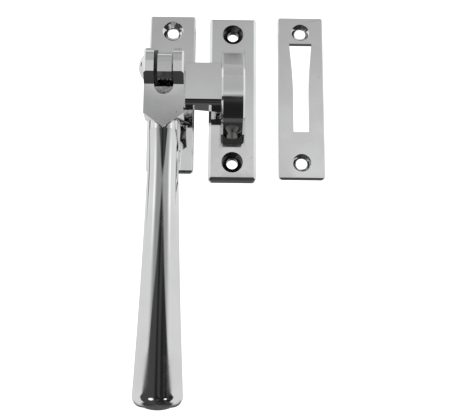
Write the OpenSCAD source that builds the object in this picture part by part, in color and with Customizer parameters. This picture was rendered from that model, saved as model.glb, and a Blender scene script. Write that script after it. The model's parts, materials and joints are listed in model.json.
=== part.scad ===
// Casement window fastener with a hook plate and a mortice plate, polished chrome.
// X runs along the set, Z is up, and Y points into the window. The backs of all three
// plates lie on y = 0, and the fastener turns about the Y axis through the origin.

/* [Screw holes] */
// Diameter of the screw holes in all three plates
screw_hole_d = 3.9; // [3:0.1:4.5]
// Mouth of the countersinks in the back plate and the hook plate
countersink_d = 7.3; // [6:0.1:8]
// Mouth of the countersinks in the mortice plate
mortice_countersink_d = 6.3; // [5.5:0.1:7]

/* [Back plate] */
// Width of the back plate
back_w = 16.2; // [15:0.1:22]
// Height of the back plate
back_h = 58; // [52:0.5:80]
// Thickness of the back plate
back_t = 2.6; // [2:0.1:4]
// Distance between the two screw holes of the back plate
back_pitch = 46.2; // [42:0.1:50]
// Bevel round the front edges of the back plate
back_bevel = 0.5; // [0.2:0.1:0.8]

/* [Hook plate] */
// Width of the hook plate
hook_w = 16.4; // [15:0.1:20]
// Height of the hook plate
hook_h = 59.6; // [55:0.1:80]
// Thickness of the hook plate
hook_t = 4.2; // [3:0.1:5]
// Distance between the two screw holes of the hook plate
hook_pitch = 47.2; // [46:0.1:50]
// Bevel round the front edges of the hook plate
hook_bevel = 0.9; // [0.3:0.1:1.2]
// Space between the back plate and the hook plate
hook_gap = 5; // [4.8:0.1:6]
// How far the middle of the hook plate lies below the turn axis
hook_drop = 2.3; // [1:0.1:3]

/* [Hook] */
// Width of the hook strap
strap_w = 7.8; // [6:0.1:9]
// Wall thickness of the hook strap
strap_t = 1.6; // [1.2:0.1:1.8]
// Bevel along the outer edges of the strap
strap_bevel = 0.6; // [0.2:0.1:0.8]
// Height of the crown of the strap in front of its plate
crown_rise = 16.5; // [16:0.1:18]
// Height of the lower ridge of the strap in front of its plate
ridge_rise = 14.6; // [14.4:0.1:15]
// Height of the upper crease of the strap in front of its plate
crease_rise = 13.5; // [13:0.1:14.5]

/* [Mortice plate] */
// Width of the mortice plate
mortice_w = 16; // [15:0.1:20]
// Height of the mortice plate
mortice_h = 60; // [56:0.5:80]
// Thickness of the mortice plate
mortice_t = 2; // [1.5:0.1:3]
// Distance between the two screw holes of the mortice plate
mortice_pitch = 48.6; // [47:0.1:52]
// Bevel round the front edges of the mortice plate
mortice_bevel = 0.3; // [0.1:0.1:0.5]
// Space between the hook plate and the mortice plate
mortice_gap = 7.8; // [5:0.1:12]
// How far the middle of the mortice plate lies below the turn axis
mortice_drop = 0.8; // [0:0.1:3]
// Width of the lower part of the slot
slot_w = 5.5; // [5:0.1:7]
// Width of the slot at its top
slot_top_w = 8; // [7:0.1:9]
// Height of the slot
slot_h = 33.1; // [28:0.1:35]

/* [Pivot] */
// Diameter of the fixed post that the swivel turns on
post_d = 7; // [6:0.1:7.4]
// Radial running clearance on the post and on the hinge pin
running_fit = 0.05; // [0.02:0.01:0.08]
// Thickness of the plain washer between the swivel and the back plate
thrust_t = 0.6; // [0.5:0.1:0.8]
// Diameter of the pin that keeps the swivel on its post
keeper_d = 2; // [1.6:0.1:2.2]
// Thread diameter of the locking screw
lock_d = 3; // [2.5:0.1:3.4]
// Width across the flats of the key socket in the locking screw
lock_key = 1.5; // [1.3:0.1:1.8]
// How far the locking screw can be driven in
lock_travel = 1.1; // [0.8:0.1:1.1]

/* [Swivel] */
// Diameter of the hub of the swivel
hub_d = 15; // [14.4:0.1:15.6]
// Depth of the hub from back to front
hub_depth = 8.2; // [8:0.1:8.3]
// Height of the nose
nose_h = 14.8; // [12:0.1:15]
// Distance from the turn axis to the end of the nose
nose_reach = 21.3; // [20:0.1:21.5]
// Width of the eye that carries the handle
eye_w = 4.7; // [4:0.1:5]
// Diameter of the eye that carries the handle
eye_d = 10.3; // [9:0.1:10.6]

/* [Handle] */
// Width of the forked head of the handle
head_w = 13.1; // [12.9:0.1:13.1]
// Diameter of the two ears of the fork
ear_d = 13; // [12.4:0.1:13.2]
// Width of the slot between the two ears
fork_w = 6.3; // [6.3:0.1:6.8]
// Diameter of the hinge pin
pin_d = 4; // [3:0.1:4.5]
// Diameter of the domed head of the hinge pin
pin_head_d = 8.6; // [7:0.1:10]
// Diameter of the grip where it leaves the head
neck_d = 9.7; // [8.5:0.1:10]
// Largest diameter of the grip, near its end
grip_d = 16; // [12:0.1:18]
// Distance from the turn axis down to the end of the grip, before the handle leans
grip_reach = 108.8; // [95:0.1:130]
// Angle by which the handle leans towards the window at rest, in degrees. A longer handle
// leans less, so that its end stays clear of the window.
lean = 3.2; // [0:0.1:3.2]

/* [Hidden] */
$fn = 96;

chrome = "gainsboro";
steel = "lightslategray";
cut = 1;                                        // how far a cutting tool runs past a face
plate_corner_r = 1.2;

// Places of the plates
hook_x = back_w / 2 + hook_gap + hook_w / 2;
mortice_x = hook_x + hook_w / 2 + mortice_gap + mortice_w / 2;

// Hook strap, heights along Z from the middle of the hook plate
strap_foot_top = 18.9;
strap_crease = 6.3;
strap_crown = -4;
strap_ridge = -13.3;
strap_foot_bottom = -17.2;

// Height, less a clearance, of the sloping inside of the strap at a distance from its plate
ramp_run = strap_foot_top - strap_crease;
ramp_shift = strap_t * norm([ramp_run, crease_rise]) / crease_rise;
function ramp_z(rise) =
    strap_foot_top - hook_drop - ramp_shift - ramp_run * rise / crease_rise - nose_clear;

// Pivot stack along Y, each value a distance in front of the window
hub_back = back_t + thrust_t + 0.05;
hub_front = hub_back + hub_depth;
tail_d = 4.4;
tail_head_d = 6;
tail_head_t = 0.9;
post_front = hub_front - 1;
spring_d = 12;
spring_t = 0.4;
spring_dish = 0.4;
spring_pocket = spring_t + spring_dish + 0.1;
keeper_y = hub_back + 2.6;
keeper_z = post_d / 2;
keeper_len = 12;
groove_clear = 0.15;
lock_y = post_front - lock_d / 2 - 0.3;
lock_len = 3.4;
lock_tip_d = 1.6;
lock_tip_len = 1.3;
lock_rest_gap = 0.15;
post_core_d = post_d - 2 * (lock_travel - lock_rest_gap) - 0.1;
lock_tip_z = post_d / 2 + lock_rest_gap;

// Handle hinge, centred on the pin
fork_x = -1.5;
fork_left = fork_x - fork_w / 2 - 0.05;
fork_right = fork_left + fork_w;
head_left = fork_x - head_w / 2;
head_right = fork_x + head_w / 2;
pin_y = hub_front + ear_d / 2 + 0.5;
pin_z = 2;
washer_play = 0.05;
friction_t = 1;
shim_t = fork_w - eye_w - friction_t - 4 * washer_play;
eye_left = fork_left + friction_t + 2 * washer_play;
friction_d = 11.6;
shim_d = 9.6;
pin_head_rise = 2;

// Handle head and grip
head_front = pin_y + 2.4;
head_back = pin_y - ear_d / 2 + 0.6;
head_side_z = -14.2;
head_point_z = -19;
head_bevel = 0.5;
side_bevel = 0.6;
fork_floor_z = -7.8;
boss_low_z = pin_z - 3.4;                       // foot of the flat front of the ears and the eye
web_top_z = pin_z - 6.5;
web_front = head_front - 2.2;
grip_y = head_front - 1.15 - neck_d / 2;
neck_z = -16;
root_d = 5;
root_z = -9.6;
rim_r = 3.4;
end_dome = 0.9;
collar = 0.6;                                   // how much the grip widens again under the head
collar_share = 0.2;
end_clear = 0.5;                                // least space between the grip and the window
rest_lean = min(lean, asin((grip_y - grip_d / 2 - end_clear) / (pin_z + grip_reach)));

// Nose of the swivel
nose_mid_z = -1.7;
nose_left = head_right + 0.25;
nose_front = hub_front + 3.9;
nose_root_back = 9.4;
nose_tip_back = 6.5;
nose_round = 1.8;
nose_clear = 0.5;
nose_waist_x = hook_x - strap_w / 2 - 0.3;

// A pin, bore or disc along Y, from a distance in front of the window to another
module along_y(d, near, far) {
    translate([0, -near, 0]) rotate([90, 0, 0]) cylinder(d = d, h = far - near);
}

// A pin, bore or disc along X
module along_x(d, left, right) {
    translate([left, 0, 0]) rotate([0, 90, 0]) cylinder(d = d, h = right - left);
}

// A front outline in X and Z, made solid from a distance in front of the window to another
module from_front(near, far) {
    translate([0, -near, 0]) rotate([90, 0, 0]) linear_extrude(far - near) children();
}

// A side outline in Y and Z, made solid from left to right
module from_side(left, right) {
    translate([left, 0, 0]) rotate([90, 0, 90]) linear_extrude(right - left) children();
}

// A long four-sided cutter that bevels the front edge between two points in X and Z
module edge_bevel(from, to, front, leg) {
    run = to - from;
    translate([from[0], -front, from[1]])
        rotate([0, -atan2(run[1], run[0]), 0])
            translate([-cut, 0, 0])
                rotate([90, 0, 90])
                    linear_extrude(norm(run) + 2 * cut)
                        polygon([[leg, 0], [0, leg], [-leg, 0], [0, -leg]]);
}

// A rectangle with round corners, centred
module round_rect(w, h, r) {
    square([w - 2 * r, h], center = true);
    square([w, h - 2 * r], center = true);
    for (x = [-1, 1], z = [-1, 1])
        translate([x * (w / 2 - r), z * (h / 2 - r)]) circle(r = r);
}

// A flat plate standing on its back, with its front edges bevelled
module plate(w, h, t, bevel) {
    intersection() {
        from_front(0, t) round_rect(w, h, plate_corner_r);
        translate([0, 0, -h / 2])
            linear_extrude(h)
                polygon([[-w / 2, 0], [w / 2, 0], [w / 2, -t + bevel], [w / 2 - bevel, -t],
                         [-w / 2 + bevel, -t], [-w / 2, -t + bevel]]);
        from_side(-w / 2, w / 2)
            polygon([[0, -h / 2], [0, h / 2], [-t + bevel, h / 2], [-t, h / 2 - bevel],
                     [-t, -h / 2 + bevel], [-t + bevel, -h / 2]]);
    }
}

// A countersunk screw hole through a plate, on the Y axis
module screw_hole(t, mouth_d) {
    depth = (mouth_d - screw_hole_d) / 2;
    along_y(screw_hole_d, -cut, t + cut);
    translate([0, -t + depth, 0])
        rotate([90, 0, 0])
            cylinder(d1 = screw_hole_d, d2 = mouth_d, h = depth);
    along_y(mouth_d, t, t + cut);
}

// The two screw holes of a plate
module screw_holes(pitch, t, mouth_d) {
    for (z = [-pitch / 2, pitch / 2])
        translate([0, 0, z]) screw_hole(t, mouth_d);
}

module back_plate() {
    color(chrome)
        difference() {
            plate(back_w, back_h, back_t, back_bevel);
            screw_holes(back_pitch, back_t, countersink_d);
            along_y(tail_d, -cut, back_t + cut);
            along_y(tail_head_d, -cut, tail_head_t);
        }
}

// The post stands on the plate, with its riveted tail flush with the back of the plate
module pivot_post() {
    lead_in = 0.4;
    color(steel)
        difference() {
            union() {
                along_y(tail_head_d, 0, tail_head_t);
                along_y(tail_d, tail_head_t, back_t);
                along_y(post_d, back_t, post_front - lead_in);
                translate([0, -post_front + lead_in, 0])
                    rotate([90, 0, 0])
                        cylinder(d1 = post_d, d2 = post_d - 2 * lead_in, h = lead_in);
            }
            groove(keeper_y, keeper_d, post_d - keeper_d - 2 * running_fit);
            groove(lock_y, lock_tip_d, post_core_d);
        }
}

// A ring-shaped groove round the post for a pin or tip of this diameter
module groove(y, d, core_d) {
    near = y - d / 2 - groove_clear;
    far = y + d / 2 + groove_clear;
    difference() {
        along_y(post_d + 2 * cut, near, far);
        along_y(core_d, near - cut, far + cut);
    }
}

module washer_y(d, bore, near, far) {
    difference() {
        along_y(d, near, far);
        along_y(bore, near - cut, far + cut);
    }
}

module thrust_washer() {
    color("ivory") washer_y(hub_d - 1, post_d + 0.2, back_t, back_t + thrust_t);
}

// A dished spring washer in the pocket at the back of the hub
module spring_washer() {
    inner = post_d / 2 + 0.3;
    outer = spring_d / 2;
    color(steel)
        translate([0, -hub_back, 0])
            rotate([90, 0, 0])
                rotate_extrude()
                    polygon([[outer, 0], [outer, spring_t], [inner, spring_dish + spring_t],
                             [inner, spring_dish]]);
}

module keeper_pin() {
    color(steel)
        translate([0, -keeper_y, keeper_z])
            along_x(keeper_d, -keeper_len / 2, keeper_len / 2);
}

// Front outline of the nose, with the end cut back so that it swings out of the hook
module nose_outline() {
    top = nose_mid_z + nose_h / 2;
    bottom = nose_mid_z - nose_h / 2;
    polygon([[0, bottom + 2.5], [nose_left, bottom], [nose_reach - 1.8, bottom],
             [nose_reach, bottom + 3.8], [nose_reach, top - 1.5], [nose_reach - 1.5, top],
             [nose_left, top], [0, top]]);
}

// Plan of the nose: hidden behind the head, then wider towards the wedge end
module nose_plan() {
    tip_bevel = 0.6;
    polygon([[0, -nose_root_back + 1.5], [7, -nose_root_back], [nose_reach, -nose_tip_back],
             [nose_reach, -nose_front + tip_bevel], [nose_reach - tip_bevel, -nose_front],
             [nose_left, -nose_front], [nose_left, -hub_front], [0, -hub_front]]);
}

// End view of the nose, with its lower front edge rounded
module nose_section() {
    top = nose_mid_z + nose_h / 2;
    bottom = nose_mid_z - nose_h / 2;
    bevel = 0.35;
    polygon([[0, bottom], [0, top], [-nose_front + bevel, top], [-nose_front, top - bevel],
             [-nose_front, bottom + nose_round], [-nose_front + nose_round, bottom]]);
    translate([-nose_front + nose_round, bottom + nose_round]) circle(r = nose_round);
}

// The end under the strap is cut away in front, parallel to the sloping inside of the strap
module nose() {
    difference() {
        intersection() {
            from_front(0, nose_front + cut) nose_outline();
            translate([0, 0, nose_mid_z - nose_h]) linear_extrude(2 * nose_h) nose_plan();
            from_side(0, nose_reach + cut) nose_section();
        }
        from_side(nose_waist_x, nose_reach + cut)
            polygon([[-hook_t, ramp_z(0)], [-hook_t - crease_rise, ramp_z(crease_rise)],
                     [-hook_t - crease_rise, ramp_z(0)]]);
    }
}

// Side outline of the flat front of an ear or the eye, with a sloping underside
module boss_front(radius, slope_run, foot_z) {
    polygon([[-pin_y, pin_z], [-pin_y - radius, pin_z], [-pin_y - radius, boss_low_z],
             [-pin_y - radius + slope_run, foot_z], [-pin_y, foot_z]]);
}

// The eye stands in front of the hub, between the ears of the handle
module eye() {
    translate([0, -pin_y, pin_z]) along_x(eye_d, eye_left, eye_left + eye_w);
    from_side(eye_left, eye_left + eye_w)
        boss_front(eye_d / 2, 0.6 * eye_d / 2, pin_z - eye_d / 2);
    translate([eye_left, -pin_y, pin_z - eye_d / 2])
        cube([eye_w, pin_y - hub_front + 0.5, eye_d]);
}

module swivel() {
    color(chrome)
        difference() {
            union() {
                along_y(hub_d, hub_back, hub_front);
                nose();
                eye();
            }
            along_y(post_d + 2 * running_fit, hub_back - cut, post_front + 0.1);
            along_y(spring_d + 0.4, hub_back - cut, hub_back + spring_pocket);
            translate([0, -keeper_y, keeper_z])
                along_x(keeper_d, -hub_d, keeper_len / 2);
            translate([0, -lock_y, 0]) cylinder(d = lock_d, h = hub_d);
            translate([0, -pin_y, pin_z])
                along_x(pin_d + 2 * running_fit, eye_left - cut, eye_left + eye_w + cut);
        }
}

// A headless screw with a hexagonal key socket at its outer end and a plain tip
module lock_screw() {
    socket_depth = 1.6;
    body_z = lock_tip_z + lock_tip_len;
    color(steel)
        translate([0, -lock_y, 0])
            difference() {
                union() {
                    translate([0, 0, lock_tip_z]) cylinder(d = lock_tip_d, h = lock_tip_len);
                    translate([0, 0, body_z]) cylinder(d = lock_d, h = lock_len - lock_tip_len);
                }
                translate([0, 0, lock_tip_z + lock_len - socket_depth])
                    cylinder(d = lock_key / cos(30), h = socket_depth + cut, $fn = 6);
            }
}

// Radius of the grip at a share of its length: a collar, a waist, then flaring out
function grip_r(s) =
    neck_d / 2 + (grip_d - neck_d) / 2 * (0.52 * s + 0.48 * s * s)
    + collar * pow(max(0, 1 - s / collar_share), 2);

module grip() {
    steps = 30;
    length = grip_reach + head_point_z - rim_r - end_dome;
    flare = [for (i = [0:steps]) [grip_r(i / steps), head_point_z - length * i / steps]];
    rim = [for (a = [15:15:90])
        [grip_d / 2 - rim_r + rim_r * cos(a), -grip_reach + end_dome + rim_r - rim_r * sin(a)]];
    translate([0, -grip_y, 0])
        rotate_extrude()
            polygon(concat([[0, root_z], [root_d / 2, root_z], [grip_r(0), neck_z]], flare, rim,
                           [[0, -grip_reach]]));
}

// A round ear with a flat front, bevelled on its outer face: side is -1 for the left one,
// 1 for the right one
module ear(side, inner, outer) {
    thick = abs(outer - inner);
    front = pin_y + ear_d / 2;
    difference() {
        union() {
            translate([outer, -pin_y, pin_z])
                rotate([0, -90 * side, 0]) {
                    cylinder(d1 = ear_d - 2 * side_bevel, d2 = ear_d, h = side_bevel);
                    translate([0, 0, side_bevel]) cylinder(d = ear_d, h = thick - side_bevel);
                }
            from_side(min(inner, outer), max(inner, outer))
                boss_front(ear_d / 2, front - head_front, pin_z - 6.4 * ear_d / 13);
        }
        edge_bevel([outer, pin_z], [outer, boss_low_z], front, side_bevel);
    }
}

// The flat-faced head, pointed at the bottom
module head() {
    left_corner = [head_left, head_side_z];
    right_corner = [head_right, head_side_z];
    point = [fork_x, head_point_z];
    difference() {
        from_front(head_back, head_front)
            polygon([[head_left, pin_z], left_corner, point, right_corner, [head_right, pin_z]]);
        edge_bevel(left_corner, point, head_front, head_bevel);
        edge_bevel(point, right_corner, head_front, head_bevel);
        edge_bevel([head_left, pin_z], left_corner, head_front, side_bevel);
        edge_bevel(right_corner, [head_right, pin_z], head_front, side_bevel);
    }
}

// The slot between the ears, open at the top, with a web behind its round foot
module fork_slot() {
    mid = (fork_left + fork_right) / 2;
    round_z = fork_floor_z + fork_w / 2;
    from_front(head_back - 2 * cut, pin_y + ear_d)
        translate([fork_left, web_top_z]) square([fork_w, ear_d * 2]);
    from_front(web_front, pin_y + ear_d) {
        translate([mid, round_z]) circle(d = fork_w);
        translate([fork_left, round_z]) square([fork_w, ear_d]);
    }
}

// Leans the handle about its hinge pin, with its foot towards the window
module leaning() {
    translate([0, -pin_y, pin_z])
        rotate([rest_lean, 0, 0])
            translate([0, pin_y, -pin_z]) children();
}

module handle() {
    color(chrome)
        leaning()
            difference() {
                union() {
                    head();
                    ear(-1, fork_left, head_left);
                    ear(1, fork_right, head_right);
                    translate([fork_x, 0, 0]) grip();
                }
                fork_slot();
                translate([0, -pin_y, pin_z]) along_x(pin_d, head_left - cut, head_right + cut);
            }
}

// The hinge pin is fast in both ears and has a domed head on the left
module hinge_pin() {
    dome_r = (pow(pin_head_d / 2, 2) + pow(pin_head_rise, 2)) / (2 * pin_head_rise);
    color(chrome)
        translate([0, -pin_y, pin_z]) {
            along_x(pin_d, head_left, head_right);
            intersection() {
                translate([head_left + dome_r - pin_head_rise, 0, 0]) sphere(r = dome_r);
                along_x(pin_head_d, head_left - pin_head_rise, head_left);
            }
        }
}

module washer_x(d, left, right) {
    translate([0, -pin_y, pin_z])
        difference() {
            along_x(d, left, right);
            along_x(pin_d + 2 * running_fit, left - cut, right + cut);
        }
}

module friction_washer() {
    left = fork_left + washer_play;
    color("dimgray") washer_x(friction_d, left, left + friction_t);
}

module shim_washer() {
    left = eye_left + eye_w + washer_play;
    color(steel) washer_x(shim_d, left, left + shim_t);
}

// Centre of the circle through three points
function circle_centre(a, b, c) =
    let (d = 2 * (a[0] * (b[1] - c[1]) + b[0] * (c[1] - a[1]) + c[0] * (a[1] - b[1])),
         aa = a * a, bb = b * b, cc = c * c)
    [(aa * (b[1] - c[1]) + bb * (c[1] - a[1]) + cc * (a[1] - b[1])) / d,
     (aa * (c[0] - b[0]) + bb * (a[0] - c[0]) + cc * (b[0] - a[0])) / d];

// Section that bevels the top edges of the strap and runs on wider than its sides.
// Its bevel is a shade wider than the crown's, so that no four faces meet at one point.
module strap_section(deep) {
    half = strap_w / 2;
    wide = half + cut;
    bevel = strap_bevel + 0.05;
    polygon([[-wide, -deep], [wide, -deep], [wide, -bevel - cut], [half - bevel, 0],
             [-half + bevel, 0], [-wide, -bevel - cut]]);
}

// A long bevelled bar whose outer face passes through two points given as (z, rise)
module strap_bar(from, to) {
    run = to - from;
    long = 8 * crown_rise;
    translate([0, -from[1], from[0]])
        rotate([atan2(run[1], run[0]), 0, 0])
            translate([0, 0, -long / 2]) linear_extrude(long) strap_section(long / 2);
}

// A disc with bevelled rims, as wide as the strap, centred at (z, rise)
module strap_disc(centre, radius) {
    half = strap_w / 2;
    translate([-half, -centre[1], centre[0]])
        rotate([0, 90, 0]) {
            cylinder(r1 = radius - strap_bevel, r2 = radius, h = strap_bevel);
            translate([0, 0, strap_bevel]) cylinder(r = radius, h = strap_w - 2 * strap_bevel);
            translate([0, 0, strap_w - strap_bevel])
                cylinder(r1 = radius, r2 = radius - strap_bevel, h = strap_bevel);
        }
}

// The strap bridges a space that is open on the left and the right, and closed above and below
module strap() {
    foot_top = [strap_foot_top, 0];
    crease = [strap_crease, crease_rise];
    crown = [strap_crown, crown_rise];
    ridge = [strap_ridge, ridge_rise];
    foot_bottom = [strap_foot_bottom, 0];
    centre = circle_centre(crease, crown, ridge);
    radius = norm(crown - centre);
    wide = strap_w / 2 + cut;
    // the inner faces, a wall's thickness inside the outer ones, run on at both ends
    ramp_in = foot_top - [ramp_shift, 0];
    wall_in = foot_bottom + [strap_t * norm(ridge - foot_bottom) / ridge_rise, 0];
    inside = [for (run_on = [-0.1, 1.6]) ramp_in + run_on * (crease - foot_top),
              for (run_on = [1.6, -0.1]) wall_in + run_on * (ridge - foot_bottom)];
    difference() {
        intersection() {
            strap_disc(centre, radius);
            strap_bar(foot_top, crease);
            strap_bar(ridge, foot_bottom);
            from_side(-wide, wide)
                translate([-2 * crown_rise, -2 * crown_rise])
                    square([2 * crown_rise + 0.5, 4 * crown_rise]);
        }
        intersection() {
            translate([0, -centre[1], centre[0]])
                along_x(2 * (radius - strap_t), -wide, wide);
            from_side(-wide, wide) polygon([for (p = inside) [-p[1], p[0]]]);
        }
    }
}

module hook_plate() {
    color(chrome)
        translate([hook_x, 0, -hook_drop])
            difference() {
                union() {
                    plate(hook_w, hook_h, hook_t, hook_bevel);
                    translate([0, -hook_t, 0]) strap();
                }
                screw_holes(hook_pitch, hook_t, countersink_d);
            }
}

// Slot with a straight foot that flares out smoothly to its square top
module slot_outline() {
    steps = 12;
    start = 0.42;
    half = [slot_w / 2, slot_top_w / 2];
    side = [for (i = [0:steps])
        let (s = i / steps)
        [half[0] + (half[1] - half[0]) * s * s * (1.6 - 0.6 * s), slot_h * (start + (1 - start) * s)]];
    right = concat([[half[0], 0]], side);
    left = [for (i = [len(right) - 1:-1:0]) [-right[i][0], right[i][1]]];
    polygon(concat(right, left));
}

module mortice_plate() {
    slot_bottom = -13.1;
    color(chrome)
        translate([mortice_x, 0, -mortice_drop])
            difference() {
                plate(mortice_w, mortice_h, mortice_t, mortice_bevel);
                screw_holes(mortice_pitch, mortice_t, mortice_countersink_d);
                from_front(-cut, mortice_t + cut) translate([0, slot_bottom]) slot_outline();
            }
}

back_plate();
pivot_post();
thrust_washer();
spring_washer();
keeper_pin();
swivel();
lock_screw();
handle();
hinge_pin();
friction_washer();
shim_washer();
hook_plate();
mortice_plate();
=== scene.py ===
"""Casement fastener with its hook plate and mortice plate, in polished chrome.

Every length is in metres. X runs along the set, Z is up and Y points into the window.
"""

import json
import logging
import math
from collections.abc import Callable
from dataclasses import dataclass, field
from enum import Enum

import bmesh
import bpy
from mathutils import Matrix, Vector


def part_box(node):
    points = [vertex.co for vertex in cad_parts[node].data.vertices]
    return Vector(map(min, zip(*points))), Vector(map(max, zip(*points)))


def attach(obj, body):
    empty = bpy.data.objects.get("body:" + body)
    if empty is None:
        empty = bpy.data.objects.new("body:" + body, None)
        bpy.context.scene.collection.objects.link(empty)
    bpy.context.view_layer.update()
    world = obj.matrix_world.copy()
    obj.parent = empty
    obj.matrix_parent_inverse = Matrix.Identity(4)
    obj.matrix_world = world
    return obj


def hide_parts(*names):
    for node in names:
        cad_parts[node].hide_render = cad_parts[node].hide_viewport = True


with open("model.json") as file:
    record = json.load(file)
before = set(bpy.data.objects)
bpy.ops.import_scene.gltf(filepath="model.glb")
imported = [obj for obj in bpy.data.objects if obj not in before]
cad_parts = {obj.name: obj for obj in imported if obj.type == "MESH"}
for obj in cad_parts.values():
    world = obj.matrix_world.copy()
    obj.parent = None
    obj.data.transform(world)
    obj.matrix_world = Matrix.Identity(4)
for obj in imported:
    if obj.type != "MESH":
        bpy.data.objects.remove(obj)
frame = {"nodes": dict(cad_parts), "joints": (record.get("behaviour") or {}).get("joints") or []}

LOG = logging.getLogger("fastener")
MM = 0.001
WELD = 1e-6
DEGREES = 180.0 / math.pi


class Finish(Enum):
    """The material slots of the record."""

    CHROME = "polished_chrome"
    STEEL = "bright_steel"
    WHITE_NYLON = "white_nylon"
    BLACK_NYLON = "black_nylon"


class Body(Enum):
    """The bodies that the pieces ride on."""

    PLATES = "plates"
    SWIVEL = "swivel"
    LOCK = "lock"
    HANDLE = "handle"


# ---------------------------------------------------------------- node trees

Socket = bpy.types.NodeSocket
Value = Socket | float
Colour = Socket | tuple[float, float, float, float]


class Wiring:
    """Adds nodes to one node tree and joins them."""

    def __init__(self, tree: bpy.types.NodeTree) -> None:
        """Args: tree: the tree that the nodes go into."""
        self.tree = tree

    def add(self, kind: str, inputs: dict | None = None, **settings) -> bpy.types.Node:
        """Adds a node.

        Args:
            kind: the node's type name.
            inputs: sockets by name or number, each with a value or a socket to link from.
            settings: the node's own properties.

        Returns:
            The new node.
        """
        node = self.tree.nodes.new(kind)
        for key, value in settings.items():
            setattr(node, key, value)
        for key, value in (inputs or {}).items():
            if isinstance(value, Socket):
                self.tree.links.new(value, node.inputs[key])
            else:
                node.inputs[key].default_value = value
        return node

    def math(self, operation: str, *values: Value, clamp: bool = False) -> Socket:
        """Returns the result of one arithmetic operation on numbers or sockets."""
        node = self.add("ShaderNodeMath", dict(enumerate(values)), operation=operation)
        node.use_clamp = clamp
        return node.outputs[0]

    def step(
        self, value: Socket, low: float, high: float, to_low: float = 0.0, to_high: float = 1.0
    ) -> Socket:
        """Takes a value smoothly from one range to another.

        Args:
            value: the socket to take.
            low: the start of its range.
            high: the end of its range.
            to_low: the result at low.
            to_high: the result at high.

        Returns:
            The result.
        """
        inputs = {"Value": value, "From Min": low, "From Max": high}
        inputs.update({"To Min": to_low, "To Max": to_high})
        node = self.add("ShaderNodeMapRange", inputs, interpolation_type="SMOOTHSTEP")
        return node.outputs["Result"]

    def mix(self, factor: Value, first: Value, second: Value) -> Socket:
        """Returns the blend of two numbers by factor."""
        node = self.add("ShaderNodeMix", {0: factor, 2: first, 3: second}, data_type="FLOAT")
        return node.outputs[0]

    def tint(self, factor: Value, first: Colour, second: Colour) -> Socket:
        """Returns the blend of two colours by factor."""
        node = self.add("ShaderNodeMix", {0: factor, 6: first, 7: second}, data_type="RGBA")
        return node.outputs[2]

    def ramp(self, value: Socket, stops: tuple[tuple[float, float], ...]) -> Socket:
        """Makes a grey that follows stops.

        Args:
            value: the place along the ramp, from 0 to 1.
            stops: (place, level) rows.

        Returns:
            The grey.
        """
        node = self.add("ShaderNodeValToRGB", {"Fac": value})
        elements = node.color_ramp.elements
        while len(elements) < len(stops):
            elements.new(0.5)
        for element, (place, level) in zip(elements, stops):
            element.position = place
            element.color = (level, level, level, 1)
        return node.outputs["Color"]


def new_group(
    name: str, inputs: dict[str, tuple[str, object]], outputs: dict[str, str]
) -> tuple[bpy.types.NodeTree, Wiring, bpy.types.Node, bpy.types.Node]:
    """Makes an empty shader node group.

    Args:
        name: the group's name.
        inputs: each input's name, socket type and first value.
        outputs: each output's name and socket type.

    Returns:
        The tree, its wiring, its input node and its output node.
    """
    tree = bpy.data.node_groups.new(name, "ShaderNodeTree")
    for label, (kind, value) in inputs.items():
        socket = tree.interface.new_socket(label, in_out="INPUT", socket_type=kind)
        socket.default_value = value
    for label, kind in outputs.items():
        tree.interface.new_socket(label, in_out="OUTPUT", socket_type=kind)
    wires = Wiring(tree)
    return tree, wires, wires.add("NodeGroupInput"), wires.add("NodeGroupOutput")


FLOAT, VECTOR = "NodeSocketFloat", "NodeSocketVector"


def new_material(name: str) -> tuple[bpy.types.Material, Wiring]:
    """Makes an empty material.

    Args:
        name: the material's name.

    Returns:
        The material and its wiring.
    """
    material = bpy.data.materials.new(name)
    material.use_nodes = True
    material.node_tree.nodes.clear()
    return material, Wiring(material.node_tree)


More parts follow.
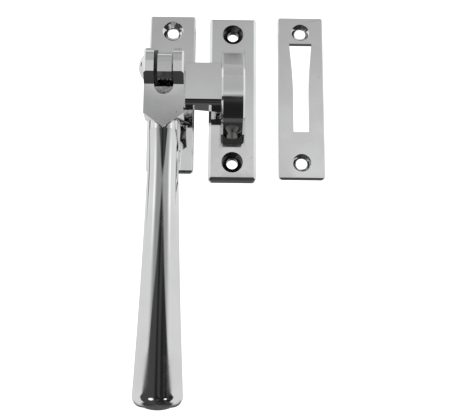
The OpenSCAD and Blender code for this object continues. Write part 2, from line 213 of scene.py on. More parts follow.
class SurfaceGroups:
    """The shader groups that several finishes share."""

    def __init__(self) -> None:
        """Builds each group once."""
        self.polish = self._polish()
        self.marks = self._marks()
        self.age = self._age()

    @staticmethod
    def _polish() -> bpy.types.NodeTree:
        """Slow waves that hand polishing leaves, with fine grain, as a height from 0 to 1.

        Returns:
            The group.
        """
        tree, w, given, out = new_group(
            "polish_waves",
            {
                "Place": (VECTOR, (0, 0, 0)),
                "Wave length": (FLOAT, 0.012),
                "Grain": (FLOAT, 0.1),
            },
            {"Height": FLOAT},
        )
        scale = w.math("DIVIDE", 1.0, given.outputs["Wave length"])
        slow = w.add(
            "ShaderNodeTexNoise",
            {"Vector": given.outputs["Place"], "Scale": scale, "Detail": 1.0},
        )
        grain = w.add(
            "ShaderNodeTexNoise",
            {"Vector": given.outputs["Place"], "Scale": 2600.0, "Detail": 2.0},
        )
        height = w.mix(given.outputs["Grain"], slow.outputs[0], grain.outputs[0])
        w.tree.links.new(height, out.inputs["Height"])
        return tree

    @staticmethod
    def _marks() -> bpy.types.NodeTree:
        """Hairline marks along a direction, and small dull spots, as masks from 0 to 1.

        Returns:
            The group.
        """
        tree, w, given, out = new_group(
            "handling_marks",
            {
                "Place": (VECTOR, (0, 0, 0)),
                "Stretch": (VECTOR, (1, 1, 1)),
                "Amount": (FLOAT, 0.5),
            },
            {"Hairlines": FLOAT, "Spots": FLOAT},
        )
        drawn = w.add(
            "ShaderNodeVectorMath",
            {0: given.outputs["Place"], 1: given.outputs["Stretch"]},
            operation="MULTIPLY",
        )
        lines = w.add(
            "ShaderNodeTexNoise",
            {"Vector": drawn.outputs[0], "Scale": 900.0, "Detail": 3.0, "Roughness": 0.7},
        )
        hairlines = w.step(lines.outputs[0], 0.6, 0.72)
        cells = w.add(
            "ShaderNodeTexVoronoi",
            {"Vector": given.outputs["Place"], "Scale": 260.0, "Randomness": 1.0},
        )
        spots = w.step(cells.outputs["Distance"], 0.16, 0.05)
        where = w.add(
            "ShaderNodeTexNoise",
            {"Vector": given.outputs["Place"], "Scale": 120.0, "Detail": 2.0},
        )
        patch = w.step(where.outputs[0], 0.52, 0.66)
        few = w.math("MULTIPLY", spots, patch)
        w.tree.links.new(
            w.math("MULTIPLY", hairlines, given.outputs["Amount"]), out.inputs["Hairlines"]
        )
        w.tree.links.new(w.math("MULTIPLY", few, given.outputs["Amount"]), out.inputs["Spots"])
        return tree

    @staticmethod
    def _age() -> bpy.types.NodeTree:
        """Wear on proud edges, and a darker, duller tone in sunk corners, from the piece's own
        curvature values.

        Returns:
            The group.
        """
        tree, w, given, out = new_group(
            "edge_age",
            {
                "Place": (VECTOR, (0, 0, 0)),
                "Curvature": (FLOAT, 0.0),
                "Wear": (FLOAT, 0.5),
                "Corner darkening": (FLOAT, 0.5),
            },
            {"Worn": FLOAT, "Darker corners": FLOAT},
        )
        rough = w.add(
            "ShaderNodeTexNoise",
            {"Vector": given.outputs["Place"], "Scale": 700.0, "Detail": 4.0},
        )
        breakup = w.step(rough.outputs[0], 0.42, 0.6)
        proud = w.step(given.outputs["Curvature"], 0.15, 0.8)
        # sunk corners take a darker, duller tone, found from the curvature values alone
        sunk = w.step(given.outputs["Curvature"], -0.1, -0.7)
        worn = w.math("MULTIPLY", w.math("MULTIPLY", proud, breakup), given.outputs["Wear"])
        darkened_corners = w.math("MULTIPLY", sunk, given.outputs["Corner darkening"])
        w.tree.links.new(worn, out.inputs["Worn"])
        w.tree.links.new(darkened_corners, out.inputs["Darker corners"])
        return tree


@dataclass(frozen=True)
class MetalFinish:
    """A bare or plated metal finish."""

    light: tuple[float, float, float, float]
    dark: tuple[float, float, float, float]
    # the colour of the small dull spots and of the darkened sunk corners
    deep_tone: tuple[float, float, float, float]
    roughness: float
    dull: float
    wave_length: float
    wave_height: float
    grain: float
    marks: float
    stretch: tuple[float, float, float]
    wear: float
    corner_darkening: float

    def make(self, name: str, groups: SurfaceGroups) -> bpy.types.Material:
        """Builds the material.

        Args:
            name: the material's name.
            groups: the shared shader groups.

        Returns:
            The material.
        """
        material, w = new_material(name)
        place = w.add("ShaderNodeTexCoord").outputs["Object"]
        curvature = w.add("ShaderNodeAttribute", attribute_name="curvature").outputs["Fac"]
        polish = w.add("ShaderNodeGroup", node_tree=groups.polish)
        marks = w.add("ShaderNodeGroup", node_tree=groups.marks)
        age = w.add("ShaderNodeGroup", node_tree=groups.age)
        for group in (polish, marks, age):
            w.tree.links.new(place, group.inputs["Place"])
        w.tree.links.new(curvature, age.inputs["Curvature"])
        polish.inputs["Wave length"].default_value = self.wave_length
        polish.inputs["Grain"].default_value = self.grain
        marks.inputs["Stretch"].default_value = self.stretch
        marks.inputs["Amount"].default_value = self.marks
        age.inputs["Wear"].default_value = self.wear
        age.inputs["Corner darkening"].default_value = self.corner_darkening

        cloud = w.add("ShaderNodeTexNoise", {"Vector": place, "Scale": 90.0, "Detail": 3.0})
        film = w.step(cloud.outputs[0], 0.35, 0.65)
        clean = w.tint(film, self.light, self.dark)
        # sunk corners are darkened towards the deep colour here, and the small dull spots after
        colour = w.tint(age.outputs["Darker corners"], clean, self.deep_tone)
        colour = w.tint(marks.outputs["Spots"], colour, self.deep_tone)
        spread = w.mix(film, self.roughness, self.roughness + 0.4 * self.dull)
        used = w.math("ADD", marks.outputs["Spots"], age.outputs["Worn"], clamp=True)
        used = w.math("ADD", used, age.outputs["Darker corners"], clamp=True)
        spread = w.mix(used, spread, self.roughness + self.dull)
        bumps = w.math("MULTIPLY", marks.outputs["Hairlines"], -0.03)
        height = w.math("ADD", polish.outputs["Height"], bumps)
        bump = w.add("ShaderNodeBump", {"Height": height, "Distance": self.wave_height})
        shader = w.add(
            "ShaderNodeBsdfPrincipled",
            {
                "Base Color": colour,
                "Roughness": spread,
                "Metallic": 1.0,
                "Normal": bump.outputs[0],
            },
        )
        w.add("ShaderNodeOutputMaterial", {"Surface": shader.outputs[0]})
        return material


@dataclass(frozen=True)
class PlasticFinish:
    """A moulded plastic finish."""

    light: tuple[float, float, float, float]
    dark: tuple[float, float, float, float]
    deep_tone: tuple[float, float, float, float]
    roughness: float
    sheen: float

    def make(self, name: str, groups: SurfaceGroups) -> bpy.types.Material:
        """Builds the material.

        Args:
            name: the material's name.
            groups: the shared shader groups.

        Returns:
            The material.
        """
        material, w = new_material(name)
        place = w.add("ShaderNodeTexCoord").outputs["Object"]
        curvature = w.add("ShaderNodeAttribute", attribute_name="curvature").outputs["Fac"]
        polish = w.add("ShaderNodeGroup", {"Place": place}, node_tree=groups.polish)
        polish.inputs["Wave length"].default_value = 2 * MM
        polish.inputs["Grain"].default_value = 0.6
        age = w.add("ShaderNodeGroup", {"Place": place}, node_tree=groups.age)
        w.tree.links.new(curvature, age.inputs["Curvature"])
        cloud = w.add("ShaderNodeTexNoise", {"Vector": place, "Scale": 400.0, "Detail": 4.0})
        clean = w.tint(w.step(cloud.outputs[0], 0.4, 0.6), self.light, self.dark)
        # sunk corners are darkened towards the deep colour
        colour = w.tint(age.outputs["Darker corners"], clean, self.deep_tone)
        spread = w.mix(cloud.outputs[0], self.roughness - 0.08, self.roughness + 0.08)
        bump = w.add(
            "ShaderNodeBump", {"Height": polish.outputs["Height"], "Distance": 0.02 * MM}
        )
        shader = w.add(
            "ShaderNodeBsdfPrincipled",
            {"Base Color": colour, "Roughness": spread, "Normal": bump.outputs[0]},
        )
        shader.inputs["Sheen Weight"].default_value = self.sheen
        w.add("ShaderNodeOutputMaterial", {"Surface": shader.outputs[0]})
        return material


def grey(level: float, warm: float = 0.0) -> tuple[float, float, float, float]:
    """Returns a grey of this level, a little warmer or cooler by warm."""
    return (level + warm, level, level - warm, 1.0)


class Finishes:
    """Every material of the set, by what it is used for."""

    def __init__(self) -> None:
        """Builds the shared groups and each material."""
        groups = SurfaceGroups()
        chrome = dict(
            light=grey(0.80, -0.004),
            dark=grey(0.76, 0.0),
            deep_tone=grey(0.16, 0.02),
            roughness=0.035,
            dull=0.16,
            wave_height=0.012 * MM,
            grain=0.02,
            marks=0.25,
            wear=0.35,
            corner_darkening=0.55,
        )
        self.plate = MetalFinish(wave_length=14 * MM, stretch=(1, 1, 0.08), **chrome).make(
            "chrome_on_rolled_plate", groups
        )
        cast = dict(chrome, wave_height=0.03 * MM)
        self.casting = MetalFinish(wave_length=9 * MM, stretch=(0.15, 1, 1), **cast).make(
            "chrome_on_casting", groups
        )
        self.grip = MetalFinish(wave_length=16 * MM, stretch=(1, 1, 0.05), **chrome).make(
            "chrome_on_turned_grip", groups
        )
        raw = dict(
            chrome, wave_height=0.35 * MM, grain=0.12, roughness=0.24, light=grey(0.78)
        )
        self.rough_cast = MetalFinish(wave_length=1.6 * MM, stretch=(1, 1, 1), **raw).make(
            "chrome_on_rough_casting", groups
        )
        # screw-hole walls: duller thin plating, with a very dark colour that is painted shade in
        # the holes
        thin_and_shaded = dict(chrome, light=grey(0.2, 0.004), dark=grey(0.12, 0.003), roughness=0.17)
        self.thin_plating_and_hole_shade = MetalFinish(wave_length=4 * MM, stretch=(1, 0.2, 1), **thin_and_shaded).make(
            "thin_plating_with_painted_shade_in_screw_holes", groups
        )
        satin = dict(chrome, roughness=0.3, light=grey(0.74), dark=grey(0.7))
        self.satin = MetalFinish(wave_length=5 * MM, stretch=(0.1, 1, 1), **satin).make(
            "chrome_on_brushed_ramp", groups
        )
        self.steel = MetalFinish(
            light=grey(0.62, -0.01),
            dark=grey(0.5, 0.01),
            deep_tone=grey(0.1, 0.01),
            roughness=0.2,
            dull=0.25,
            wave_length=3 * MM,
            wave_height=0.01 * MM,
            grain=0.3,
            marks=0.8,
            stretch=(1, 0.1, 1),
            wear=0.5,
            corner_darkening=0.8,
        ).make("bright_turned_steel", groups)
        self.white_nylon = PlasticFinish(
            light=grey(0.83, 0.02),
            dark=grey(0.74, 0.03),
            deep_tone=grey(0.4, 0.03),
            roughness=0.45,
            sheen=0.1,
        ).make("white_nylon_moulding", groups)
        self.black_nylon = PlasticFinish(
            light=grey(0.03),
            dark=grey(0.018),
            deep_tone=grey(0.06, 0.01),
            roughness=0.5,
            sheen=0.15,
        ).make("black_nylon_moulding", groups)


# ---------------------------------------------------------------- meshes


def settle(obj: bpy.types.Object) -> bpy.types.Object:
    """Turns an object's live modifiers into its plain mesh.

    Args:
        obj: a mesh object with modifiers.

    Returns:
        The same object, with the evaluated mesh and no modifiers.
    """
    bpy.context.view_layer.update()
    graph = bpy.context.evaluated_depsgraph_get()
    mesh = bpy.data.meshes.new_from_object(
        obj.evaluated_get(graph), preserve_all_data_layers=True, depsgraph=graph
    )
    obj.modifiers.clear()
    old = obj.data
    obj.data = mesh
    mesh.name = obj.name
    if old.users == 0:
        bpy.data.meshes.remove(old)
    return obj


def new_object(name: str, mesh: bpy.types.Mesh) -> bpy.types.Object:
    """Returns a new object with this mesh, linked to the scene."""
    obj = bpy.data.objects.new(name, mesh)
    bpy.context.scene.collection.objects.link(obj)
    return obj


def object_from(name: str, bm: bmesh.types.BMesh) -> bpy.types.Object:
    """Returns a new object made from bm, which is freed."""
    mesh = bpy.data.meshes.new(name)
    bm.to_mesh(mesh)
    bm.free()
    return new_object(name, mesh)


def merged_copy(node: str, name: str) -> bpy.types.Object:
    """Copies a node of the frame as one welded mesh, with its flat faces made whole.

    Args:
        node: the node to copy.
        name: the new object's name.

    Returns:
        The new object.
    """
    bm = bmesh.new()
    bm.from_mesh(frame["nodes"][node].data)
    bmesh.ops.remove_doubles(bm, verts=bm.verts, dist=WELD)
    flat = math.radians(0.3)
    bmesh.ops.dissolve_limit(bm, angle_limit=flat, verts=bm.verts, edges=bm.edges)
    return object_from(name, bm)


# edges from this angle in degrees are rounded, in so many strips, and then from this angle hard
ROUNDED_FROM = 28.0
ROUNDING_STRIPS = 3
HARD_FROM = 35.0


def soften(obj: bpy.types.Object, radius: float) -> None:
    """Rounds every sharp edge, as plating and polishing leave it.

    Args:
        obj: a mesh object.
        radius: how wide the rounding is.
    """
    bevel = obj.modifiers.new("rounding", "BEVEL")
    bevel.width = radius
    bevel.segments = ROUNDING_STRIPS
    bevel.limit_method = "ANGLE"
    bevel.angle_limit = math.radians(ROUNDED_FROM)
    bevel.use_clamp_overlap = True
    bevel.miter_outer = "MITER_ARC"
    bevel.harden_normals = False
    settle(obj)
    shade(obj, HARD_FROM)


def shade(obj: bpy.types.Object, sharp: float) -> None:
    """Shades a mesh smooth, with flat faces kept flat and edges above sharp degrees kept hard.

    Args:
        obj: a mesh object.
        sharp: the angle in degrees from which an edge stays hard.
    """
    mesh = obj.data
    mesh.polygons.foreach_set("use_smooth", [True] * len(mesh.polygons))
    mesh.set_sharp_from_angle(angle=math.radians(sharp))
    weighted = obj.modifiers.new("flat_faces", "WEIGHTED_NORMAL")
    weighted.keep_sharp = True
    weighted.weight = 100
    weighted.mode = "FACE_AREA"
    settle(obj)
    keep_flats(obj.data)


SMALLEST_FLAT = 12 * MM * MM


def keep_flats(mesh: bpy.types.Mesh) -> None:
    """Gives the corners of the large flat faces that lie square to an axis the face's own normal.

    Args:
        mesh: a mesh with corner normals.
    """
    normals = [tuple(corner.vector) for corner in mesh.corner_normals]
    for face in mesh.polygons:
        square = max(abs(v) for v in face.normal) > 0.9999
        if face.area > SMALLEST_FLAT and square:
            for corner in face.loop_indices:
                normals[corner] = tuple(face.normal)
    mesh.normals_split_custom_set(normals)


SMALL_FEATURE = 3 * MM


def mark_curvature(obj: bpy.types.Object, reach: float) -> None:
    """Stores how proud or sunk each point is, from 1 on an outer edge to -1 in a corner.

    Args:
        obj: a mesh object.
        reach: the edge length that counts as a small feature.
    """
    bm = bmesh.new()
    bm.from_mesh(obj.data)
    values = []
    for vert in bm.verts:
        total = 0.0
        for edge in vert.link_edges:
            if len(edge.link_faces) == 2 and edge.calc_face_angle(0.0) > 0.02:
                near = min(f.calc_area() for f in edge.link_faces) < reach * reach
                total += edge.calc_face_angle_signed(0.0) if near else 0.0
        values.append(max(-1.0, min(1.0, 0.8 * total)))
    bm.free()
    attribute = obj.data.attributes.new("curvature", "FLOAT", "POINT")
    attribute.data.foreach_set("value", values)


def dress(obj: bpy.types.Object, material: bpy.types.Material) -> None:
    """Gives a piece one material.

    Args:
        obj: the piece.
        material: its material.
    """
    obj.data.materials.clear()
    obj.data.materials.append(material)


def dress_faces(
    obj: bpy.types.Object, material: bpy.types.Material, chosen: Callable[[Vector, Vector], bool]
) -> None:
    """Gives some faces of a dressed piece a second material.

    Args:
        obj: a dressed piece.
        material: the material for those faces.
        chosen: says from a face's centre and normal whether it is one of them.
    """
    obj.data.materials.append(material)
    number = len(obj.data.materials) - 1
    for face in obj.data.polygons:
        if chosen(face.center, face.normal):
            face.material_index = number


def place(obj: bpy.types.Object, body: Body, node: str) -> None:
    """Makes a finished piece ride on a body in place of a node of the frame.

    Args:
        obj: the piece.
        body: the body it rides on.
        node: the node it stands for.
    """
    mark_curvature(obj, SMALL_FEATURE)
    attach(obj, body.value)
    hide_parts(node)
    LOG.info("%s: %d faces on %s", obj.name, len(obj.data.polygons), body.value)


# ---------------------------------------------------------------- sub-assemblies


@dataclass
class PlateSet:
    """The three plates that are screwed to the window."""

    back_edge: float = 0.22 * MM
    hook_edge: float = 0.2 * MM
    mortice_edge: float = 0.12 * MM
    hook_pitch: float = 47.2 * MM
    countersink_d: float = 7.2 * MM
    ramp_from: float = 4.5 * MM

    def build(self, finishes: Finishes) -> None:
        """Builds and dresses the plates.

        Args:
            finishes: the materials.
        """
        for node, name, edge in (
            ("back_plate", "back_plate_polished", self.back_edge),
            ("hook_plate", "hook_plate_with_strap", self.hook_edge),
            ("mortice_plate", "mortice_plate_polished", self.mortice_edge),
        ):
            plate = merged_copy(node, name)
            soften(plate, edge)
            dress(plate, finishes.plate)
            if node == "hook_plate":
                # the screw-hole walls get the darker material, which paints shade into the holes
                dress_faces(plate, finishes.thin_plating_and_hole_shade, self.in_hook_holes)
                dress_faces(plate, finishes.satin, self.on_strap_ramp)
            place(plate, Body.PLATES, node)

    def in_hook_holes(self, centre: Vector, normal: Vector) -> bool:
        """Says whether a face is on the wall of one of the hook plate's screw holes.

        Args:
            centre: the face's centre.
            normal: the face's normal.

        Returns:
            Whether it is.
        """
        low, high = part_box("hook_plate")
        mid = (low + high) / 2
        for side in (-1, 1):
            hole_z = mid.z + side * self.hook_pitch / 2
            off = math.hypot(centre.x - mid.x, centre.z - hole_z)
            if off < self.countersink_d / 2 and abs(normal.y) < 0.9:
                return True
        return False


    def on_strap_ramp(self, centre: Vector, normal: Vector) -> bool:
        """Says whether a face is on the sloping outside of the hook's strap, facing up.

        Args:
            centre: the face's centre.
            normal: the face's normal.

        Returns:
            Whether it is.
        """
        low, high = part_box("hook_plate")
        mid = (low + high) / 2
        in_front = high.y - centre.y > self.ramp_from
        return in_front and centre.z > mid.z and normal.z > 0.3 and normal.y < -0.3


@dataclass
class SwivelSet:
    """The swivel with its nose and eye, its post, washers, keeper pin and locking screw."""

    edge: float = 0.2 * MM
    small_edge: float = 0.06 * MM

    def build(self, finishes: Finishes) -> None:
        """Builds and dresses the pieces.

        Args:
            finishes: the materials.
        """
        chrome = (finishes.casting, Finish.CHROME)
        steel = (finishes.steel, Finish.STEEL)
        nylon = (finishes.white_nylon, Finish.WHITE_NYLON)
        rows = (
            ("swivel", "swivel_casting", Body.SWIVEL, self.edge, chrome),
            ("pivot_post", "riveted_post", Body.PLATES, self.small_edge, steel),
            ("thrust_washer", "nylon_thrust_washer", Body.PLATES, self.small_edge, nylon),
            ("spring_washer", "dished_washer", Body.SWIVEL, self.small_edge, steel),
            ("keeper_pin", "post_keeper_pin", Body.SWIVEL, self.small_edge, steel),
            ("lock_screw", "locking_screw", Body.LOCK, self.small_edge, steel),
        )
        for node, name, body, edge, (material, slot) in rows:
            piece = merged_copy(node, name)
            soften(piece, edge)
            dress(piece, material)
            place(piece, body, node)


class GeometryWiring(Wiring):
    """Adds the arithmetic of Geometry Nodes."""

    def between(self, value: Socket, low: float, high: float) -> Socket:
        """Returns how far value is from low to high, from 0 to 1."""
        inputs = {"Value": value, "From Min": low, "From Max": high}
        node = self.add("ShaderNodeMapRange", inputs)
        return node.outputs["Result"]


class GripTree:
    """The Geometry Nodes tree that turns the grip from its rule."""

    BODY_SHARE = 0.72
    RIM_SHARE = 0.9
    STRAIGHT_GROWTH = 0.52
    CURVED_GROWTH = 0.48
    TIP_SHARE = 0.002
    SIZES = ("Length", "Neck radius", "End radius", "Collar", "Collar share", "Rim", "Dome")

    def __init__(self, finish: bpy.types.Material) -> None:
        """Args: finish: the grip's material."""
        self.tree = bpy.data.node_groups.new("turned_grip", "GeometryNodeTree")
        for label in self.SIZES:
            self.tree.interface.new_socket(label, in_out="INPUT", socket_type=FLOAT)
        for label in ("Rings", "Sides"):
            self.tree.interface.new_socket(label, in_out="INPUT", socket_type="NodeSocketInt")
        self.tree.interface.new_socket(
            "Geometry", in_out="OUTPUT", socket_type="NodeSocketGeometry"
        )
        self._wire(finish)

    def _wire(self, finish: bpy.types.Material) -> None:
        """Joins the nodes: a straight line whose radius and place follow the rule.

        Args:
            finish: the grip's material.
        """
        w = GeometryWiring(self.tree)
        size = w.add("NodeGroupInput").outputs
        along = w.add("GeometryNodeSplineParameter").outputs["Factor"]
        body = w.between(along, 0.0, self.BODY_SHARE)
        corner = w.between(along, self.BODY_SHARE, self.RIM_SHARE)
        floor = w.between(along, self.RIM_SHARE, 1.0)
        # the body widens from its neck to its end, with a collar at the top
        straight_part = w.math("MULTIPLY", body, self.STRAIGHT_GROWTH)
        curved_part = w.math("MULTIPLY", w.math("MULTIPLY", body, body), self.CURVED_GROWTH)
        widening = w.math("ADD", straight_part, curved_part)
        growth = w.math("SUBTRACT", size["End radius"], size["Neck radius"])
        near_top = w.math("SUBTRACT", 1.0, w.math("DIVIDE", body, size["Collar share"]))
        near_top = w.math("POWER", w.math("MAXIMUM", near_top, 0.0), 2.0)
        radius = w.math("ADD", size["Neck radius"], w.math("MULTIPLY", growth, widening))
        radius = w.math("ADD", radius, w.math("MULTIPLY", size["Collar"], near_top))
        # the rim is a quarter circle, and the end is a shallow dome
        angle = w.math("MULTIPLY", corner, math.pi / 2)
        drawn_in = w.math("SUBTRACT", 1.0, w.math("COSINE", angle))
        radius = w.math("SUBTRACT", radius, w.math("MULTIPLY", size["Rim"], drawn_in))
        left_over = w.math("SUBTRACT", 1.0, floor)
        radius = w.math("MULTIPLY", radius, w.math("MAXIMUM", left_over, self.TIP_SHARE))
        straight = w.math("SUBTRACT", size["Length"], w.math("ADD", size["Rim"], size["Dome"]))
        down = w.math("MULTIPLY", straight, body)
        down = w.math("ADD", down, w.math("MULTIPLY", size["Rim"], w.math("SINE", angle)))
        bulge = w.math("SUBTRACT", 1.0, w.math("MULTIPLY", left_over, left_over))
        down = w.math("ADD", down, w.math("MULTIPLY", size["Dome"], bulge))

        line = w.add("GeometryNodeCurvePrimitiveLine", {"End": (0, 0, -0.1)})
        points = w.add(
            "GeometryNodeResampleCurve", {"Curve": line.outputs[0], "Count": size["Rings"]}
        )
        wide = w.add(
            "GeometryNodeSetCurveRadius", {"Curve": points.outputs[0], "Radius": radius}
        )
        spot = w.add("ShaderNodeCombineXYZ", {"Z": w.math("MULTIPLY", down, -1.0)})
        moved = w.add(
            "GeometryNodeSetPosition", {"Geometry": wide.outputs[0], "Position": spot.outputs[0]}
        )
        ring = w.add(
            "GeometryNodeCurvePrimitiveCircle", {"Resolution": size["Sides"], "Radius": 1.0}
        )
        skin = w.add(
            "GeometryNodeCurveToMesh",
            {
                "Curve": moved.outputs[0],
                "Profile Curve": ring.outputs[0],
                "Scale": w.add("GeometryNodeInputRadius").outputs[0],
                "Fill Caps": True,
            },
        )
        real = w.add("GeometryNodeRealizeInstances", {"Geometry": skin.outputs[0]})
        painted = w.add(
            "GeometryNodeSetMaterial", {"Geometry": real.outputs[0], "Material": finish}
        )
        out = w.add("NodeGroupOutput")
        self.tree.links.new(painted.outputs[0], out.inputs[0])

    def make(self, name: str, sizes: dict[str, float]) -> bpy.types.Object:
        """Makes a mesh object from the tree.

        Args:
            name: the object's name.
            sizes: a value for every named input.

        Returns:
            The object, with a plain mesh.
        """
        obj = new_object(name, bpy.data.meshes.new(name))
        modifier = obj.modifiers.new("turned_grip", "NODES")
        modifier.node_group = self.tree
        for item in self.tree.interface.items_tree:
            if item.in_out == "INPUT":
                modifier[item.identifier] = sizes[item.name]
        return settle(obj)


def hinge_place(name: str) -> Vector:
    """Returns where the named joint of the frame lies."""
    return next(Vector(joint["pos_m"]) for joint in frame["joints"] if joint["name"] == name)


@dataclass
class HandleSet:
    """The handle with its hinge pin and washers."""

    edge: float = 0.25 * MM
    small_edge: float = 0.06 * MM
    lean: float = 3.2
    pin: Vector = field(default_factory=lambda: hinge_place("handle_lift"))
    grip_axis_y: float = -14.85 * MM
    grip_top_z: float = -19.0 * MM
    grip_foot_z: float = -108.8 * MM
    neck_radius: float = 4.85 * MM
    end_radius: float = 8.0 * MM
    collar: float = 0.6 * MM
    collar_share: float = 0.2
    rim: float = 3.4 * MM
    dome: float = 0.9 * MM
    grip_rings: int = 150
    grip_sides: int = 144
    grip_over: float = 0.015 * MM
    cut_below_top: float = 3.0 * MM
    fork_half_w: float = 3.0 * MM
    web_top: float = 6.5 * MM
    web_foot: float = 9.8 * MM

    def leaned(self) -> Matrix:
        """Returns the turn about the hinge pin that leans the handle."""
        turn = Matrix.Rotation(math.radians(self.lean), 4, "X")
        return Matrix.Translation(self.pin) @ turn @ Matrix.Translation(-self.pin)

    def build(self, finishes: Finishes) -> None:
        """Builds and dresses the pieces.

        Args:
            finishes: the materials.
        """
        self._head(finishes)
        self._grip(finishes)
        rows = (
            ("hinge_pin", "domed_hinge_pin", finishes.casting, Finish.CHROME),
            ("friction_washer", "nylon_friction_washer", finishes.black_nylon, Finish.BLACK_NYLON),
            ("shim_washer", "steel_shim_washer", finishes.steel, Finish.STEEL),
        )
        for node, name, material, slot in rows:
            piece = merged_copy(node, name)
            soften(piece, self.small_edge)
            dress(piece, material)
            place(piece, Body.HANDLE, node)

    def _head(self, finishes: Finishes) -> None:
        """The forked head, cut off a little way down the grip.

        Args:
            finishes: the materials.
        """
        head = merged_copy("handle", "forked_head")
        bm = bmesh.new()
        bm.from_mesh(head.data)
        lean = self.leaned()
        where = lean @ Vector((self.pin.x, self.grip_axis_y, self.grip_top_z - self.cut_below_top))
        axis = (lean.to_3x3() @ Vector((0, 0, 1))).normalized()
        parts = bm.verts[:] + bm.edges[:] + bm.faces[:]
        done = bmesh.ops.bisect_plane(
            bm, geom=parts, plane_co=where, plane_no=axis, clear_inner=True
        )
        rim = [e for e in done["geom_cut"] if isinstance(e, bmesh.types.BMEdge)]
        bmesh.ops.edgeloop_fill(bm, edges=rim)
        bm.to_mesh(head.data)
        bm.free()
        soften(head, self.edge)
        dress(head, finishes.casting)
        dress_faces(head, finishes.rough_cast, self.in_fork_foot)
        place(head, Body.HANDLE, "handle")

    def in_fork_foot(self, centre: Vector, normal: Vector) -> bool:
        """Says whether a face is on the unpolished web at the foot of the fork.

        Args:
            centre: the face's centre.
            normal: the face's normal.

        Returns:
            Whether it is.
        """
        below = self.pin.z - centre.z
        inside = abs(centre.x - self.pin.x) < self.fork_half_w and below > self.web_top - 0.5 * MM
        facing = normal.y < -0.9 or normal.z > 0.2
        recessed = centre.y > self.pin.y - 1.2 * MM
        return inside and facing and recessed and below < self.web_foot

    def _grip(self, finishes: Finishes) -> None:
        """The turned grip, which runs on inside the head.

        Args:
            finishes: the materials.
        """
        length = self.grip_top_z - self.grip_foot_z
        sizes = {
            "Length": length,
            "Neck radius": self.neck_radius + self.grip_over,
            "End radius": self.end_radius,
            "Collar": self.collar,
            "Collar share": self.collar_share,
            "Rim": self.rim,
            "Dome": self.dome,
            "Rings": self.grip_rings,
            "Sides": self.grip_sides,
        }
        grip = GripTree(finishes.grip).make("turned_grip", sizes)
        top = Matrix.Translation((self.pin.x, self.grip_axis_y, self.grip_top_z))
        grip.data.transform(self.leaned() @ top)
        bm = bmesh.new()
        bm.from_mesh(grip.data)
        bmesh.ops.recalc_face_normals(bm, faces=bm.faces)
        bm.to_mesh(grip.data)
        bm.free()
        grip.data.polygons.foreach_set("use_smooth", [True] * len(grip.data.polygons))
        grip.data.set_sharp_from_angle(angle=math.radians(50))
        place(grip, Body.HANDLE, "handle")


# ---------------------------------------------------------------- studio


@dataclass
class StudioCamera:
    """A camera below the set, looking up at it."""

    target: tuple[float, float, float] = (20.77 * MM, 0.0, -41.6 * MM)
    distance: float = 292.4 * MM
    elevation: float = 14.44
    yaw: float = 0.8
    roll: float = 0.45
    focal: float = 860.0
    image_width: float = 460.0
    sensor: float = 36.0

    def build(self) -> None:
        """Puts the scene's camera in place."""
        up_angle, turn, roll = (math.radians(v) for v in (self.elevation, self.yaw, self.roll))
        ahead = Vector(
            (
                math.sin(turn) * math.cos(up_angle),
                math.cos(turn) * math.cos(up_angle),
                math.sin(up_angle),
            )
        )
        right = Vector((math.cos(turn), -math.sin(turn), 0.0))
        up = right.cross(ahead)
        right, up = (
            right * math.cos(roll) + up * math.sin(roll),
            up * math.cos(roll) - right * math.sin(roll),
        )
        data = bpy.data.cameras.new("camera")
        data.sensor_width = self.sensor
        data.lens = self.focal / self.image_width * self.sensor
        data.clip_start = 0.01
        data.clip_end = 20.0
        camera = bpy.data.objects.new("camera", data)
        bpy.context.scene.collection.objects.link(camera)
        turned = Matrix((right, up, -ahead)).transposed().to_4x4()
        stand = Vector(self.target) - ahead * self.distance
        camera.matrix_world = Matrix.Translation(stand) @ turned
        bpy.context.scene.camera = camera


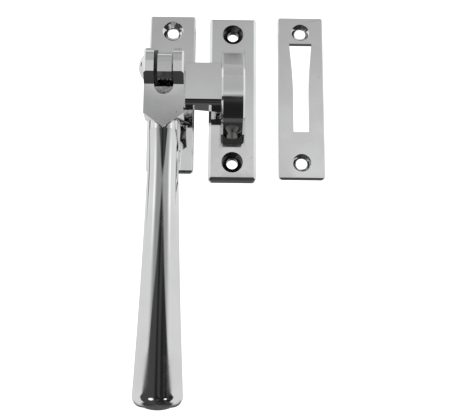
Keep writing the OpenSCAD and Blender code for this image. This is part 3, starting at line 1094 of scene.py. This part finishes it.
@dataclass
class Studio:
    """A light tent: pale all round, with a dark opening low in front and two bright sides."""

    floor_z: float = -0.2
    floor_size: float = 3.0
    white: float = 1.3
    key_power: float = 3.0
    opening_level: float = 0.035
    opening_left_level: float = 0.065
    front_wall: tuple[tuple[float, float], ...] = (
        (-90.0, 0.04),
        (-60.0, 0.06),
        (0.0, 0.36),
        (12.0, 0.38),
        (15.4, 0.44),
        (16.6, 0.72),
        (19.0, 0.68),
        (24.0, 0.54),
        (28.0, 0.49),
        (60.0, 0.52),
        (80.0, 0.42),
        (90.0, 0.4),
    )
    # elevation and half the width of the opening, both in degrees; less than nothing is closed
    opening: tuple[tuple[float, float], ...] = (
        (-90.0, 80.0),
        (1.0, 80.0),
        (2.6, 72.0),
        (3.9, 58.0),
        (5.0, 47.0),
        (6.4, 39.0),
        (8.3, 28.0),
        (10.6, 16.0),
        (12.6, 2.0),
        (14.0, -10.0),
        (90.0, -20.0),
    )
    closed: float = -20.0
    # turn, elevation and radius in degrees, and level
    patches: tuple[tuple[float, float, float, float], ...] = (
        (-28.0, -26.0, 15.0, 1.3),
        (42.0, -24.0, 9.0, 1.3),
        (-113.0, 22.0, 10.0, 0.05),
    )

    @staticmethod
    def level_stops(rows: tuple[tuple[float, float], ...]) -> tuple[tuple[float, float], ...]:
        """Returns (elevation in degrees, value) rows as stops of a ramp from nadir to zenith."""
        return tuple(((elevation + 90.0) / 180.0, level) for elevation, level in rows)

    def build(self) -> None:
        """Builds the floor, the light and the tent."""
        self._floor()
        self._key()
        self._tent()
        bpy.context.scene.view_settings.view_transform = "Standard"

    def _floor(self) -> None:
        """A pale floor below the set, which the metal doesn't mirror."""
        bm = bmesh.new()
        bmesh.ops.create_grid(bm, x_segments=8, y_segments=8, size=self.floor_size / 2)
        bmesh.ops.translate(bm, verts=bm.verts, vec=(0.0, 0.0, self.floor_z))
        floor = object_from("studio_floor", bm)
        material, w = new_material("pale_paper")
        where = w.add("ShaderNodeTexCoord").outputs["Object"]
        noise = w.add("ShaderNodeTexNoise", {"Vector": where, "Scale": 30.0, "Detail": 4.0})
        colour = w.tint(noise.outputs[0], grey(0.84), grey(0.8))
        shader = w.add("ShaderNodeBsdfPrincipled", {"Base Color": colour, "Roughness": 0.9})
        w.add("ShaderNodeOutputMaterial", {"Surface": shader.outputs[0]})
        floor.data.materials.append(material)
        floor.visible_glossy = False

    def _key(self) -> None:
        """A broad soft light above, for the plastics and the floor."""
        data = bpy.data.lights.new("overhead_softbox", "AREA")
        data.energy = self.key_power
        data.shape = "RECTANGLE"
        data.size = 0.8
        data.size_y = 0.6
        lamp = bpy.data.objects.new("overhead_softbox", data)
        lamp.location = (0.1, -0.5, 0.8)
        lamp.rotation_euler = (math.radians(35), 0.0, 0.0)
        lamp.visible_glossy = False
        bpy.context.scene.collection.objects.link(lamp)

    def _tent(self) -> None:
        """The walls of the tent, as the world around the set."""
        world = bpy.data.worlds.new("light_tent")
        world.use_nodes = True
        world.node_tree.nodes.clear()
        w = Wiring(world.node_tree)
        way = w.add("ShaderNodeSeparateXYZ", {0: w.add("ShaderNodeTexCoord").outputs["Generated"]})
        x, y, z = way.outputs
        rise = w.math("MULTIPLY", w.math("ARCSINE", z), DEGREES)
        turn = w.math("MULTIPLY", w.math("ARCTAN2", x, w.math("MULTIPLY", y, -1.0)), DEGREES)
        side = w.math("ABSOLUTE", turn)
        around = w.add("ShaderNodeTexCoord").outputs["Generated"]
        wave = w.add("ShaderNodeTexNoise", {"Vector": around, "Scale": 2.2, "Detail": 2.0})
        drift = w.math("MULTIPLY", w.math("SUBTRACT", wave.outputs[0], 0.5), 14.0)

        # front wall: brightest just above the opening, dimmer higher up
        share = w.math("DIVIDE", w.math("ADD", rise, 90.0), 180.0)
        front = w.ramp(share, self.level_stops(self.front_wall))
        front = w.math("MULTIPLY", front, w.step(turn, -15.0, 15.0, 0.88, 1.12))
        # side walls: pale grey low down, nearly white above
        flank = w.step(rise, 10.0, 24.0, 0.8, 0.98)
        strip = w.math("MULTIPLY", w.step(side, 40.0, 46.0), w.step(side, 66.0, 56.0))
        strip = w.math("MULTIPLY", strip, w.step(rise, 9.0, 13.5))
        strip = w.math("MULTIPLY", strip, w.step(rise, 21.0, 16.0))
        flank = w.mix(strip, flank, self.white)
        flank = w.mix(w.step(rise, -52.0, -38.0), 0.05, flank)
        tent = w.mix(w.step(side, 34.0, 60.0), front, flank)
        # behind the set it is bright at the height of the set, dim above and dark below
        behind = w.step(rise, -13.0, -7.0, 0.1, 0.7)
        behind = w.mix(w.step(rise, 22.0, 45.0), behind, 0.42)
        tent = w.mix(w.step(side, 125.0, 165.0), tent, behind)
        # the dark opening is narrow at its top and wide below
        span = 100.0
        widths = tuple((at, (half - self.closed) / span) for at, half in self.opening)
        width = w.math("MULTIPLY", w.ramp(share, self.level_stops(widths)), span)
        width = w.math("ADD", width, self.closed)
        edge = w.math("ADD", width, drift)
        outside = w.math("SUBTRACT", side, edge)
        open_part = w.step(outside, 5.0, -4.0)
        cloudy = w.step(wave.outputs[0], 0.45, 0.62)
        dark = w.mix(cloudy, self.opening_level * 0.5, self.opening_level * 1.8)
        dark = w.mix(w.step(turn, -14.0, -6.0), self.opening_left_level, dark)
        tent = w.mix(open_part, tent, dark)
        for at_turn, at_rise, radius, level in self.patches:
            across = w.math("POWER", w.math("SUBTRACT", turn, at_turn), 2.0)
            upward = w.math("POWER", w.math("SUBTRACT", rise, at_rise), 2.0)
            far = w.math("SQRT", w.math("ADD", across, upward))
            tent = w.mix(w.step(far, radius, 0.6 * radius), tent, level)
        seen = w.add("ShaderNodeLightPath").outputs["Is Camera Ray"]
        level = w.mix(seen, tent, self.white)
        back = w.add("ShaderNodeBackground", {"Color": (1, 1, 1, 1), "Strength": level})
        w.add("ShaderNodeOutputWorld", {"Surface": back.outputs[0]})
        bpy.context.scene.world = world


def main() -> None:
    """Builds every piece, dresses it and lights the scene."""
    logging.basicConfig(level=logging.INFO, format="%(name)s %(message)s")
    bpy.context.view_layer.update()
    StudioCamera().build()
    finishes = Finishes()
    for part in (PlateSet(), SwivelSet(), HandleSet()):
        part.build(finishes)
    Studio().build()


if __name__ == "__main__":
    main()
